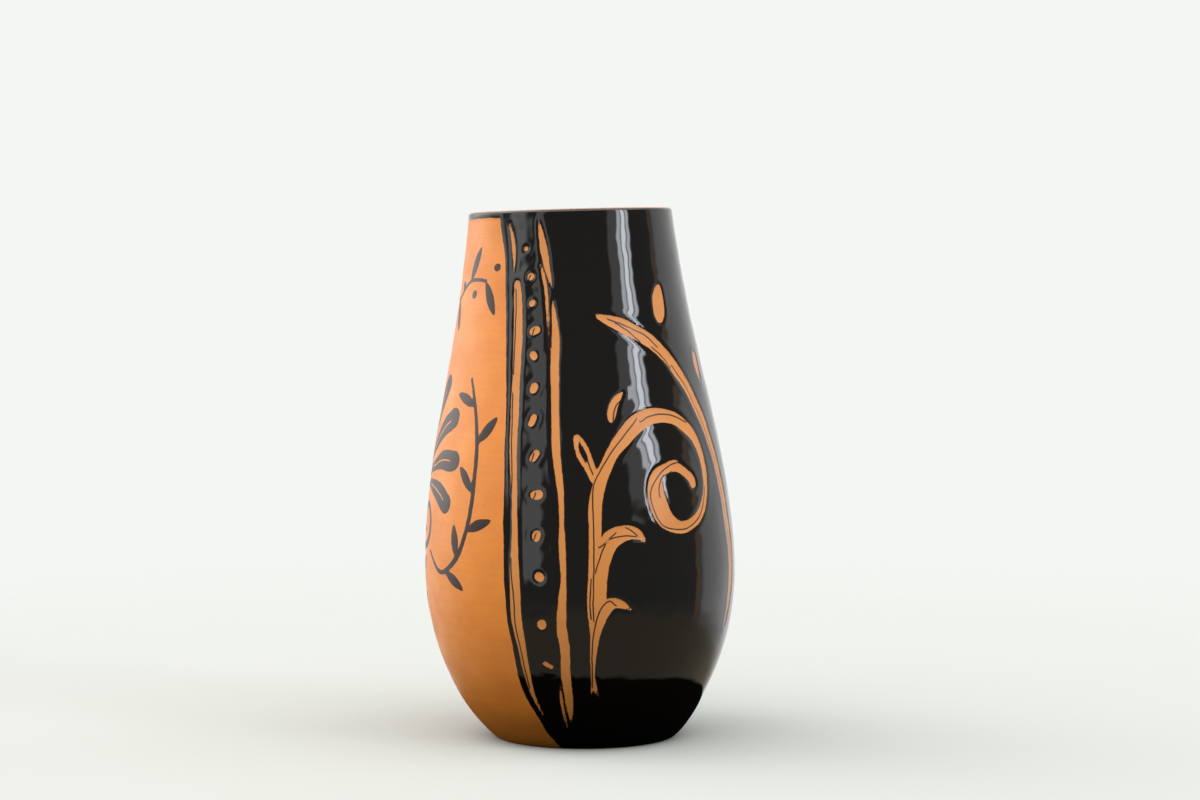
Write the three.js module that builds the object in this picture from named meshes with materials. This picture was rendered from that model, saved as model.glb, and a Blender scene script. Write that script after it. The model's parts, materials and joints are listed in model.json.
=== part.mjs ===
// Tall painted vase of thrown and fired clay: egg-shaped, open at the top, with no foot ring,
// neck or handles. One hollow body of revolution that stands slightly askew on a flat underside.
// Millimetres, +Z up. The origin is at the centre of the underside and the painted front faces -Y.

import * as THREE from 'three';

// Driving dimensions of the outside, measured along and from the axis that it was thrown on
const HEIGHT = 430;
const RIM_RADIUS = 82.6;
const BELLY_RADIUS = 126.7;
const BELLY_HEIGHT = 137;
const FOOT_RADIUS = 73.3;

// How the two curves of the outside leave the foot, pass the belly and reach the rim
const FOOT_FLARE = 1.25; // widening for each millimetre of rise at the foot
const FOOT_REACH = 17; // height that the flare holds for
const BELLY_REACH_BELOW = 65;
const BELLY_REACH_ABOVE = 97;
const RIM_TAPER = 0.103; // narrowing for each millimetre of rise at the rim
const RIM_REACH = 125;

// Wall and how the body stands
const WALL = 7.5;
const FLOOR = 10;
const LIP_RADIUS = 2.4; // rounding of the lip's two edges
const LEAN = THREE.MathUtils.degToRad(1.57); // the axis tips towards -X at the top
const LEVEL_FOOT = 40; // height over which the rings come level, so that the underside is flat

// Fineness of the faceted surface
const SEGMENTS = 72;
const LOWER_STEPS = 8;
const UPPER_STEPS = 11;
const LIP_STEPS = 3;

const point = (radius, height) => new THREE.Vector2(radius, height);

// Outside of the wall, from the foot to the belly and from the belly to the rim
function outerCurves() {
  const lower = new THREE.CubicBezierCurve(
    point(FOOT_RADIUS, 0),
    point(FOOT_RADIUS + FOOT_FLARE * FOOT_REACH, FOOT_REACH),
    point(BELLY_RADIUS, BELLY_HEIGHT - BELLY_REACH_BELOW),
    point(BELLY_RADIUS, BELLY_HEIGHT),
  );
  const upper = new THREE.CubicBezierCurve(
    point(BELLY_RADIUS, BELLY_HEIGHT),
    point(BELLY_RADIUS, BELLY_HEIGHT + BELLY_REACH_ABOVE),
    point(RIM_RADIUS + RIM_TAPER * RIM_REACH, HEIGHT - RIM_REACH),
    point(RIM_RADIUS, HEIGHT),
  );
  return [{ curve: lower, steps: LOWER_STEPS }, { curve: upper, steps: UPPER_STEPS }];
}

// Points up the wall, moved inwards square to the surface by inset, between two heights
function wallPoints(inset, lowest, highest) {
  const points = [];
  for (const { curve, steps } of outerCurves()) {
    for (let step = 0; step <= steps; step += 1) {
      const along = step / steps;
      const outside = curve.getPoint(along);
      const tangent = curve.getTangent(along);
      const moved = point(outside.x - tangent.y * inset, outside.y + tangent.x * inset);
      const last = points.at(-1);
      const repeats = last !== undefined && last.distanceTo(moved) < WALL / 10;
      if (moved.y >= lowest && moved.y <= highest && !repeats) points.push(moved);
    }
  }
  return points;
}

// Quarter round of the lip about a centre, from one angle to another
function lipRound(centreRadius, startAngle, endAngle) {
  const points = [];
  for (let step = 0; step <= LIP_STEPS; step += 1) {
    const angle = THREE.MathUtils.lerp(startAngle, endAngle, step / LIP_STEPS);
    points.push(point(
      centreRadius + LIP_RADIUS * Math.cos(angle),
      HEIGHT - LIP_RADIUS + LIP_RADIUS * Math.sin(angle),
    ));
  }
  return points;
}

// Half section of the hollow body, from the axis at the underside round to the axis above the floor
function section() {
  const belowLip = HEIGHT - 2 * LIP_RADIUS;
  const lipOuter = RIM_RADIUS + RIM_TAPER * LIP_RADIUS;
  const lipInner = lipOuter - WALL;
  const inside = wallPoints(WALL, FLOOR + WALL / 4, belowLip).reverse();
  return [
    point(0, 0),
    ...wallPoints(0, 0, belowLip),
    ...lipRound(lipOuter - LIP_RADIUS, 0, Math.PI / 2),
    ...lipRound(lipInner + LIP_RADIUS, Math.PI / 2, Math.PI),
    ...inside,
    point(inside.at(-1).x - WALL / 2, FLOOR),
    point(0, FLOOR),
  ];
}

// Tips each ring of an upright body with the axis, about the middle of the belly
function leanOnLevelFoot(geometry) {
  const { position } = geometry.attributes;
  for (let index = 0; index < position.count; index += 1) {
    const across = position.getX(index);
    const height = position.getZ(index);
    const tip = LEAN * THREE.MathUtils.smoothstep(height, 0, LEVEL_FOOT);
    position.setX(index, across * Math.cos(tip) - (height - BELLY_HEIGHT) * Math.sin(LEAN));
    position.setZ(index, height + across * Math.sin(tip));
  }
  geometry.computeVertexNormals();
  return geometry;
}

function buildVase() {
  const upright = new THREE.LatheGeometry(section(), SEGMENTS);
  upright.rotateX(Math.PI / 2);
  const glaze = new THREE.MeshStandardMaterial({ color: 0x17120f, roughness: 0.12, metalness: 0 });
  const vase = new THREE.Mesh(leanOnLevelFoot(upright), glaze);
  vase.name = 'vase';
  return vase;
}

const part = new THREE.Group();
part.add(buildVase());

export default part;
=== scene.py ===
"""Dressed model of a tall painted vase: thrown clay, black glaze, reserved scrolls and a painted panel.

Ornament is laid out on the unrolled wall. A place on it is written as degrees round the axis, with 0 facing
the viewer and positive to the right, and millimetres up the clay from the foot.
"""

import json
import logging
import math
from collections.abc import Iterable
from dataclasses import dataclass, field
from enum import Enum

import bpy
import numpy as np
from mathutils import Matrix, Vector

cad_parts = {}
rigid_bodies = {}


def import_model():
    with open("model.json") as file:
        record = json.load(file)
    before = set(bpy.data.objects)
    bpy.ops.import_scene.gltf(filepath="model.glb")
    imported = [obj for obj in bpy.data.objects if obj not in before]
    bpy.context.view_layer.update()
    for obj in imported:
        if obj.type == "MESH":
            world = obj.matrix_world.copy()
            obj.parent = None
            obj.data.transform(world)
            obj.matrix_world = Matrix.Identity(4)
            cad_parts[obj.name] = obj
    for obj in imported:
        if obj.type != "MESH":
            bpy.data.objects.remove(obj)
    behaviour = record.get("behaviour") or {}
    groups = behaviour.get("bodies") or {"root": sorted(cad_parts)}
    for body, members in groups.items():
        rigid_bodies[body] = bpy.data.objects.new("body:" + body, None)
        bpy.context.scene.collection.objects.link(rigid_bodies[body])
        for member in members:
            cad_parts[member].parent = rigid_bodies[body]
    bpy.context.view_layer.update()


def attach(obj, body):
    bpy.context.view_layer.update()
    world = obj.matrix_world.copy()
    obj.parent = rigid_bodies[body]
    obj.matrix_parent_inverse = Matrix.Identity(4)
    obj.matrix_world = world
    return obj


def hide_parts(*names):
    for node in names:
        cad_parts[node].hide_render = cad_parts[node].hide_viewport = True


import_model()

LOG = logging.getLogger("painted_vase")
MM = 0.001
TINY = 1e-6
VEIN_SIDE, VEIN_GAP = "vein_side_{}_mm", "vein_gap_{}_mm"
VEIN_LAYERS = 2
MATH, RAMP, MIX = "ShaderNodeMath", "ShaderNodeMapRange", "ShaderNodeMix"
READING, NAMED = "ShaderNodeAttribute", "GeometryNodeInputNamedAttribute"
SMOOTH = {"interpolation_type": "SMOOTHSTEP"}
RGB = {"data_type": "RGBA", "give": 2}


def linear(hex_colour: str) -> tuple[float, float, float, float]:
    """Turns an sRGB hex colour into linear RGBA.

    Args:
        hex_colour: Six hex digits after a hash.

    Returns:
        Linear red, green, blue and an alpha of 1.
    """
    channels = (int(hex_colour[start:start + 2], 16) / 255 for start in (1, 3, 5))
    red, green, blue = (c / 12.92 if c <= 0.04045 else ((c + 0.055) / 1.055) ** 2.4 for c in channels)
    return red, green, blue, 1.0


def per_mm(size: float) -> float:
    """Gives the texture scale at which one pattern cell measures size millimetres."""
    return 1.0 / (size * MM)


def span(low: float, high: float, start: float = 0.0, end: float = 1.0) -> dict[str, float]:
    """Gives the range inputs for going from start to end as a value goes from low to high."""
    return {"From Min": low, "From Max": high, "To Min": start, "To Max": end}


def add_node(
    tree: bpy.types.NodeTree, kind: str, inputs: dict | None = None, give: int | str = 0, **settings: object
) -> bpy.types.NodeSocket | None:
    """Adds a node, sets its properties and feeds its inputs.

    Args:
        tree: Node tree that the node goes into.
        kind: Blender's name for the type of node.
        inputs: Input name or number, with the socket to link to it or the value to set on it.
        give: Name or number of the output that is wanted.
        **settings: Properties of the node.

    Returns:
        The wanted output, or None from a node that has no outputs.
    """
    node = tree.nodes.new(kind)
    for name, value in settings.items():
        setattr(node, name, value)
    for key, value in (inputs or {}).items():
        if isinstance(value, bpy.types.NodeSocket):
            tree.links.new(value, node.inputs[key])
        else:
            node.inputs[key].default_value = value
    return node.outputs[give] if node.outputs else None


def new_material(name: str) -> tuple[bpy.types.Material, bpy.types.NodeTree]:
    """Starts a material with an empty node tree."""
    material = bpy.data.materials.new(name)
    material.use_nodes = True
    material.node_tree.nodes.clear()
    return material, material.node_tree


def new_geometry_tree(name: str, inputs: dict[str, str]) -> tuple[bpy.types.NodeTree, bpy.types.NodeOutputs]:
    """Starts a Geometry Nodes tree with one geometry in and out.

    Args:
        name: Name of the tree.
        inputs: Further inputs, each name with its socket type.

    Returns:
        The tree and what its Group Input node gives.
    """
    tree = bpy.data.node_groups.new(name, "GeometryNodeTree")
    tree.interface.new_socket("Geometry", in_out="INPUT", socket_type="NodeSocketGeometry")
    for label, kind in inputs.items():
        tree.interface.new_socket(label, in_out="INPUT", socket_type=kind)
    tree.interface.new_socket("Geometry", in_out="OUTPUT", socket_type="NodeSocketGeometry")
    return tree, tree.nodes.new("NodeGroupInput").outputs


def run_tree(mesh: bpy.types.Mesh, tree: bpy.types.NodeTree, values: dict[str, object]) -> bpy.types.Mesh:
    """Runs a Geometry Nodes tree on a mesh and keeps the plain result.

    Args:
        mesh: Mesh that the tree starts from.
        tree: Tree to run.
        values: Values of the tree's named inputs.

    Returns:
        The result, with no modifier left on anything.
    """
    carrier = bpy.data.objects.new(tree.name, mesh)
    bpy.context.scene.collection.objects.link(carrier)
    modifier = carrier.modifiers.new(tree.name, "NODES")
    modifier.node_group = tree
    for item in tree.interface.items_tree:
        if item.in_out == "INPUT" and item.name in values:
            modifier[item.identifier] = values[item.name]
    graph = bpy.context.evaluated_depsgraph_get()
    result = bpy.data.meshes.new_from_object(
        carrier.evaluated_get(graph), preserve_all_data_layers=True, depsgraph=graph
    )
    carrier.modifiers.remove(modifier)
    bpy.data.objects.remove(carrier)
    return result


def read_attribute(mesh: bpy.types.Mesh, name: str) -> np.ndarray:
    """Reads a number per vertex or face from a mesh.

    Args:
        mesh: Mesh that holds the attribute.
        name: Name of the attribute.

    Returns:
        The attribute's values in order.
    """
    data = mesh.attributes[name].data
    values = np.zeros(len(data), dtype=np.float32)
    data.foreach_get("value", values)
    return values


def write_attribute(mesh: bpy.types.Mesh, name: str, kind: str, domain: str, values: np.ndarray) -> None:
    """Writes a number per vertex or face to a mesh.

    Args:
        mesh: Mesh that takes the attribute.
        name: Name of the attribute.
        kind: FLOAT or INT.
        domain: POINT or FACE.
        values: One value for each element.
    """
    attribute = mesh.attributes.get(name) or mesh.attributes.new(name, kind, domain)
    attribute.data.foreach_set("value", values)


def smooth_path(points: np.ndarray, steps: int) -> np.ndarray:
    """Runs a Catmull-Rom curve through points.

    Args:
        points: Rows of numbers, one row for each point.
        steps: Samples in each span.

    Returns:
        Rows sampled along the curve, ends included.
    """
    padded = np.vstack([2 * points[0] - points[1], points, 2 * points[-1] - points[-2]])
    t = np.linspace(0, 1, steps, endpoint=False)[:, None]
    spans = []
    for before, start, end, after in zip(padded, padded[1:], padded[2:], padded[3:]):
        linear_term = (end - before) * t
        square_term = (2 * before - 5 * start + 4 * end - after) * t ** 2
        cube_term = (3 * start - before - 3 * end + after) * t ** 3
        spans.append(start + (linear_term + square_term + cube_term) / 2)
    return np.vstack([*spans, points[-1:]])


def bezier(corners: Iterable[tuple[float, float]], steps: int) -> np.ndarray:
    """Samples a cubic Bezier curve.

    Args:
        corners: The curve's four control points.
        steps: Number of samples.

    Returns:
        Rows of points along the curve.
    """
    first, second, third, last = (np.array(corner) for corner in corners)
    t = np.linspace(0, 1, steps)[:, None]
    return (1 - t) ** 3 * first + 3 * (1 - t) ** 2 * t * second + 3 * (1 - t) * t ** 2 * third + t ** 3 * last


def lengths_along(path: np.ndarray) -> np.ndarray:
    """Gives the length run from the start of a path to each of its points."""
    return np.concatenate([[0.0], np.cumsum(np.linalg.norm(np.diff(path, axis=0), axis=1))])


def spaced(path: np.ndarray, spacing: float) -> np.ndarray:
    """Resamples a path at an even spacing.

    Args:
        path: Rows of points.
        spacing: Distance wanted between points.

    Returns:
        Rows of points, with the path's ends kept.
    """
    run = lengths_along(path)
    places = np.linspace(0, run[-1], max(2, round(run[-1] / spacing) + 1))
    return np.column_stack([np.interp(places, run, path[:, axis]) for axis in range(path.shape[1])])


class Region(Enum):
    """Which surface of the clay a face belongs to."""

    UNDERSIDE = 0
    WALL = 1
    LIP = 2
    INSIDE = 3


@dataclass(frozen=True)
class ThrownForm:
    """Sizes of the thrown clay, in millimetres along and from the axis that it was thrown on."""

    height: float = 430.0
    rim_radius: float = 82.6
    belly_radius: float = 126.7
    belly_height: float = 137.0
    foot_radius: float = 73.3
    foot_flare: float = 1.25
    foot_reach: float = 17.0
    belly_reach_below: float = 65.0
    belly_reach_above: float = 97.0
    rim_taper: float = 0.103
    rim_reach: float = 125.0
    wall: float = 7.5
    floor: float = 10.0
    lip_radius: float = 2.4
    foot_round: float = 1.0
    lean: float = math.radians(1.57)
    level_foot: float = 40.0
    wall_spacing: float = 2.1
    inside_spacing: float = 14.0
    disc_spacing: float = 16.0
    lip_steps: int = 4
    glazed_lip_rows: int = 1
    columns: int = 368
    lower_samples: int = 200
    upper_samples: int = 300

    def outside(self) -> np.ndarray:
        """Gives the outside from the foot to the start of the lip, as fine rows of radius and height."""
        belly = (self.belly_radius, self.belly_height)
        lower = bezier((
            (self.foot_radius, 0.0),
            (self.foot_radius + self.foot_flare * self.foot_reach, self.foot_reach),
            (self.belly_radius, self.belly_height - self.belly_reach_below),
            belly,
        ), self.lower_samples)
        upper = bezier((
            belly,
            (self.belly_radius, self.belly_height + self.belly_reach_above),
            (self.rim_radius + self.rim_taper * self.rim_reach, self.height - self.rim_reach),
            (self.rim_radius, self.height),
        ), self.upper_samples)
        path = np.vstack([lower, upper[1:]])
        return path[path[:, 1] <= self.height - self.lip_radius]

    def wall_length(self) -> float:
        """Gives the length of clay from the foot to the start of the lip."""
        return float(lengths_along(self.outside())[-1])

    def radius_at(self, along: np.ndarray | float) -> np.ndarray | float:
        """Gives the outside radius at a length up the clay."""
        path = self.outside()
        return np.interp(along, lengths_along(path), path[:, 0])

    def inside(self) -> np.ndarray:
        """Gives the inside from the lip down to the floor, as fine rows of radius and height."""
        path = self.outside()
        tangent = np.gradient(path, axis=0)
        tangent /= np.linalg.norm(tangent, axis=1)[:, None]
        inner = path + self.wall * np.column_stack([-tangent[:, 1], tangent[:, 0]])
        top = self.height - 2 * self.lip_radius
        return inner[(inner[:, 1] > self.floor + self.wall / 4) & (inner[:, 1] < top)][::-1]

    def lip(self) -> np.ndarray:
        """Gives the lip's round from the outside over to the inside."""
        outer = self.outside()[-1, 0]
        quarter = np.linspace(0, math.pi / 2, self.lip_steps + 1)
        rise = self.height - self.lip_radius + self.lip_radius * np.sin(quarter)
        reach = self.lip_radius * np.cos(quarter)
        outer_round = np.column_stack([outer - self.lip_radius + reach, rise])
        inner_round = np.column_stack([outer - self.wall + self.lip_radius - reach, rise])
        return np.vstack([outer_round[1:], inner_round[::-1]])

    def section(self) -> list[tuple[Region, np.ndarray]]:
        """Gives the half section in order, from the middle of the underside to the middle of the floor."""
        inside = spaced(self.inside(), self.inside_spacing)
        underside = np.array([[0.0, 0.0], [self.foot_radius - self.foot_round, 0.0]])
        inner_floor = np.array([[inside[-1, 0] - self.wall / 2, self.floor], [0.0, self.floor]])
        lip = self.lip()
        wall = np.vstack([spaced(self.outside(), self.wall_spacing), lip[:self.glazed_lip_rows]])
        wall[0] += (0.0, self.foot_round / 3)
        return [
            (Region.UNDERSIDE, spaced(underside, self.disc_spacing)),
            (Region.WALL, wall),
            (Region.LIP, lip[self.glazed_lip_rows:]),
            (Region.INSIDE, np.vstack([inside, spaced(inner_floor, self.disc_spacing)])),
        ]


@dataclass(frozen=True)
class WallPoints:
    """Places on the painted wall, one for each vertex: degrees, millimetres up the clay and radius."""

    around: np.ndarray
    along: np.ndarray
    radius: np.ndarray
    place: np.ndarray

    def millimetres_per_degree(self) -> np.ndarray:
        """Gives how far one degree reaches round the wall at each place."""
        return self.radius * math.pi / 180

    def part(self, chosen: np.ndarray) -> "WallPoints":
        """Gives only the chosen places."""
        return WallPoints(self.around[chosen], self.along[chosen], self.radius[chosen], self.place[chosen])

    def moved(self, across: np.ndarray, up: np.ndarray) -> "WallPoints":
        """Gives the places shifted by millimetres across and up."""
        shift = across / self.millimetres_per_degree()
        return WallPoints(self.around + shift, self.along + up, self.radius, self.place)


@dataclass(frozen=True)
class Unevenness:
    """Smooth hand-made unevenness: waves in seeded directions through space, about 1 high in all."""

    wavelength: float
    seed: int
    waves: int = 9
    stretch: tuple[float, float] = (0.7, 1.5)

    def at(self, place: np.ndarray) -> np.ndarray:
        """Evaluates the unevenness.

        Args:
            place: Rows of millimetres.

        Returns:
            A value for each row, mostly between -1 and 1.
        """
        draw = np.random.default_rng(self.seed)
        total = np.zeros(len(place))
        for _ in range(self.waves):
            heading = draw.normal(size=3)
            wavelength = self.wavelength * draw.uniform(*self.stretch)
            heading *= 2 * math.pi / (wavelength * np.linalg.norm(heading))
            total += np.sin(place @ heading + draw.uniform(0, 2 * math.pi))
        return total * math.sqrt(2 / self.waves) / 2


@dataclass(frozen=True)
class Stroke:
    """One drawn stroke: rows of degrees, millimetres up and half width in millimetres."""

    rows: tuple[tuple[float, float, float], ...]
    steps: int = 8
    reach: float = 8.0

    def spine(self) -> np.ndarray:
        """Gives the stroke's middle line and half width, sampled smoothly."""
        spine = smooth_path(np.array(self.rows, dtype=float), self.steps)
        spine[:, 2] = np.maximum(spine[:, 2], 0.0)
        return spine

    def mirrored(self, axis: float) -> "Stroke":
        """Gives the stroke reflected about a line up the wall at axis degrees."""
        rows = tuple((2 * axis - around, along, half) for around, along, half in self.rows)
        return Stroke(rows, self.steps)

    def vein(self, form: ThrownForm, aside: float, start: float, end: float) -> "Stroke":
        """Gives a thin line that runs inside this stroke.

        Args:
            form: Clay form that the stroke lies on.
            aside: Place between the middle line at 0 and the left or right edge at -1 or 1.
            start: Share of the stroke where the line starts.
            end: Share of the stroke where the line ends.

        Returns:
            The thin line.
        """
        spine = self.spine()
        degree = form.radius_at(spine[:, 1]) * math.pi / 180
        flat = np.column_stack([spine[:, 0] * degree, spine[:, 1]])
        heading = np.gradient(flat, axis=0)
        heading /= np.maximum(np.linalg.norm(heading, axis=1)[:, None], TINY)
        shift = aside * spine[:, 2]
        rows = np.column_stack([
            spine[:, 0] + heading[:, 1] * shift / degree,
            spine[:, 1] - heading[:, 0] * shift,
            np.zeros(len(spine)),
        ])
        kept = rows[int(start * len(rows)):int(end * len(rows))]
        return Stroke(tuple(map(tuple, kept)), steps=1)

    def near(self, points: WallPoints) -> tuple[np.ndarray, WallPoints]:
        """Finds the places that the stroke can reach.

        Args:
            points: Places on the wall.

        Returns:
            A mask of those places, and the places with their degrees turned to the stroke's own range.
        """
        spine = self.spine()
        middle = (spine[:, 0].min() + spine[:, 0].max()) / 2
        around = (points.around - middle + 180) % 360 - 180 + middle
        margin = self.reach + spine[:, 2].max()
        aside = margin / points.millimetres_per_degree()
        chosen = (around > spine[:, 0].min() - aside) & (around < spine[:, 0].max() + aside)
        chosen &= (points.along > spine[:, 1].min() - margin) & (points.along < spine[:, 1].max() + margin)
        turned = WallPoints(around, points.along, points.radius, points.place)
        return chosen, turned.part(chosen)

    def measure(self, points: WallPoints) -> tuple[np.ndarray, np.ndarray]:
        """Measures places against the stroke.

        Args:
            points: Places in the stroke's own range of degrees.

        Returns:
            Millimetres inside the stroke, negative outside, and signed millimetres from its middle line.
        """
        spine = self.spine()
        degree = points.millimetres_per_degree()[:, None]
        across = (spine[None, :, 0] - points.around[:, None]) * degree
        up = spine[None, :, 1] - points.along[:, None]
        run_across, run_up = np.diff(across, axis=1), np.diff(up, axis=1)
        square = np.maximum(run_across ** 2 + run_up ** 2, TINY)
        share = np.clip(-(across[:, :-1] * run_across + up[:, :-1] * run_up) / square, 0, 1)
        gap = np.hypot(across[:, :-1] + share * run_across, up[:, :-1] + share * run_up)
        half = spine[None, :-1, 2] + share * np.diff(spine[:, 2])[None]
        best = np.argmax(half - gap, axis=1)
        row = np.arange(len(best))
        turn = run_across[row, best] * up[row, best] - run_up[row, best] * across[row, best]
        return (half - gap)[row, best], gap[row, best] * np.where(turn < 0, -1.0, 1.0)


def leaf(form: ThrownForm, base: tuple[float, float], heading: float, length: float, half: float) -> Stroke:
    """Makes a pointed leaf.

    Args:
        form: Clay form that the leaf lies on.
        base: Where the leaf grows from, in degrees and millimetres up.
        heading: Direction of growth in degrees, 0 to the right and 90 up.
        length: Length in millimetres.
        half: Half width at its fullest in millimetres.

    Returns:
        The leaf as a stroke.
    """
    shares = ((0.0, 0.12), (0.3, 0.85), (0.55, 1.0), (0.8, 0.6), (1.0, 0.0))
    rows = []
    for share, fullness in shares:
        up = base[1] + share * length * math.sin(math.radians(heading))
        across = share * length * math.cos(math.radians(heading))
        rows.append((base[0] + math.degrees(across / form.radius_at(up)), up, half * fullness))
    return Stroke(tuple(rows))


def thin(*places: tuple[float, float]) -> Stroke:
    """Makes a thin line through places in degrees and millimetres up."""
    return Stroke(tuple((around, along, 0.0) for around, along in places))


@dataclass(frozen=True)
class Dot:
    """A small reserved dot, given one by one: its place, half width and half height."""

    around: float
    along: float
    half_width: float
    half_height: float
    lean: float = 0.3
    taper: float = 0.92
    least_stretch: float = 0.2
    slit_reach: tuple[float, float] = (-1.2, -0.2)
    slit_top: float = 0.4

    def stroke(self) -> Stroke:
        """Gives the dot as a short upright stroke."""
        stretch = max(self.half_height - self.half_width, self.least_stretch)
        return Stroke((
            (self.around - self.lean, self.along - stretch, self.half_width * self.taper),
            (self.around + self.lean, self.along + stretch, self.half_width),
        ))

    def slit(self) -> Stroke:
        """Gives the slanting line drawn across the dot."""
        left, right = self.slit_reach
        return thin(
            (self.around + left, self.along - self.half_height),
            (self.around + right, self.along + self.half_height * self.slit_top),
        )


@dataclass(frozen=True)
class Border:
    """Two reserved lines with a column of small reserved dots between them, beside the panel."""

    outer_stub: Stroke = Stroke((
        (-34.4, 437.5, 0.5), (-32.6, 427, 1.4), (-31.5, 417, 1.7), (-30.5, 407, 1.1), (-29.9, 398, 0.3),
    ))
    outer_line: Stroke = Stroke((
        (-27.7, 389, 2.6), (-27.1, 377, 3.6), (-26.2, 350, 4.0), (-25.8, 315, 3.2), (-25.3, 285, 3.4),
        (-24.4, 243, 3.0), (-23.3, 215, 2.4), (-23.2, 190, 2.6), (-23.4, 165, 3.8), (-23.5, 132, 4.3),
        (-22.8, 108, 4.0), (-22.0, 77, 2.5), (-20.7, 56, 1.4), (-19.2, 40, 0.5),
    ))
    inner_top: Stroke = Stroke((
        (-17.5, 438.5, 0.3), (-16.0, 428.5, 1.9), (-14.0, 416.5, 2.9), (-12.5, 403, 2.4),
        (-10.9, 393, 1.3), (-9.8, 386, 0.2),
    ))
    inner_strand: Stroke = Stroke((
        (-15.8, 405, 0.2), (-14.1, 396, 1.1), (-12.6, 385, 1.3), (-11.7, 373, 1.1), (-11.4, 355, 0.7),
        (-11.3, 336, 0.1),
    ))
    inner_line: Stroke = Stroke((
        (-9.1, 376, 0.2), (-8.5, 362, 1.8), (-7.9, 344, 3.2), (-8.2, 318, 3.4), (-7.9, 285, 3.1),
        (-7.7, 260, 3.4), (-6.8, 236, 2.8), (-5.8, 211, 2.1), (-5.6, 196, 1.9), (-5.8, 178, 2.6),
        (-5.6, 156, 2.1), (-6.2, 138, 3.3), (-6.6, 118, 3.9), (-6.1, 102, 3.5), (-6.2, 78, 3.7),
        (-5.7, 60, 3.2), (-5.4, 46, 2.5), (-5.7, 32, 0.4),
    ))
    inner_prong: Stroke = Stroke((
        (-9.2, 70, 0.2), (-9.0, 58, 1.0), (-8.8, 49, 1.2), (-8.5, 37, 1.0), (-8.2, 27, 0.2),
    ))
    dots: tuple[Dot, ...] = (
        Dot(-23.7, 416.5, 1.6, 1.9), Dot(-20.3, 394.5, 2.6, 3.2), Dot(-19.2, 372.5, 2.4, 2.9),
        Dot(-17.7, 351, 3.1, 3.9, 0.9), Dot(-18.0, 331, 2.9, 3.8, -0.3), Dot(-17.5, 305, 3.0, 4.4),
        Dot(-17.4, 280, 2.5, 4.9, 0.5), Dot(-16.2, 252, 2.7, 5.0, 0.7), Dot(-15.0, 222, 3.7, 3.9, 0.6),
        Dot(-14.7, 189, 3.5, 4.6, 0.1), Dot(-14.3, 157, 3.6, 4.0, -0.2), Dot(-13.9, 120, 3.8, 4.2, 0.0),
        Dot(-12.9, 86, 1.9, 3.6, -1.2),
    )
    slit_dots: tuple[int, ...] = (1, 3, 7, 8, 9)

    def strokes(self) -> list[Stroke]:
        """Gives every reserved stroke of the border."""
        outer = [self.outer_stub, self.outer_line]
        inner = [self.inner_top, self.inner_strand, self.inner_line, self.inner_prong]
        return outer + inner + [dot.stroke() for dot in self.dots]

    def veins(self) -> list[Stroke]:
        """Gives the thin dark lines drawn inside the reserved lines and dots."""
        return [
            thin((-28.3, 384), (-27.9, 360), (-27.6, 337), (-27.3, 317)),
            thin((-26.8, 301), (-26.4, 284), (-25.6, 261), (-25.0, 240), (-24.8, 222)),
            thin((-24.8, 172), (-24.6, 155), (-24.1, 136), (-24.0, 118), (-23.5, 104), (-22.8, 86),
                 (-22.1, 66)),
        ]

    def gaps(self) -> list[Stroke]:
        """Gives the thin dark gaps between the strands of the inner line, and the slits in the dots."""
        return [
            thin((-15.4, 412), (-13.9, 401), (-12.4, 394), (-11.2, 385), (-10.2, 374), (-9.9, 358),
                 (-9.9, 338)),
            thin((-8.1, 74), (-7.95, 60), (-7.8, 49), (-7.6, 38), (-7.5, 28)),
            *(self.dots[index].slit() for index in self.slit_dots),
        ]


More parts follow.
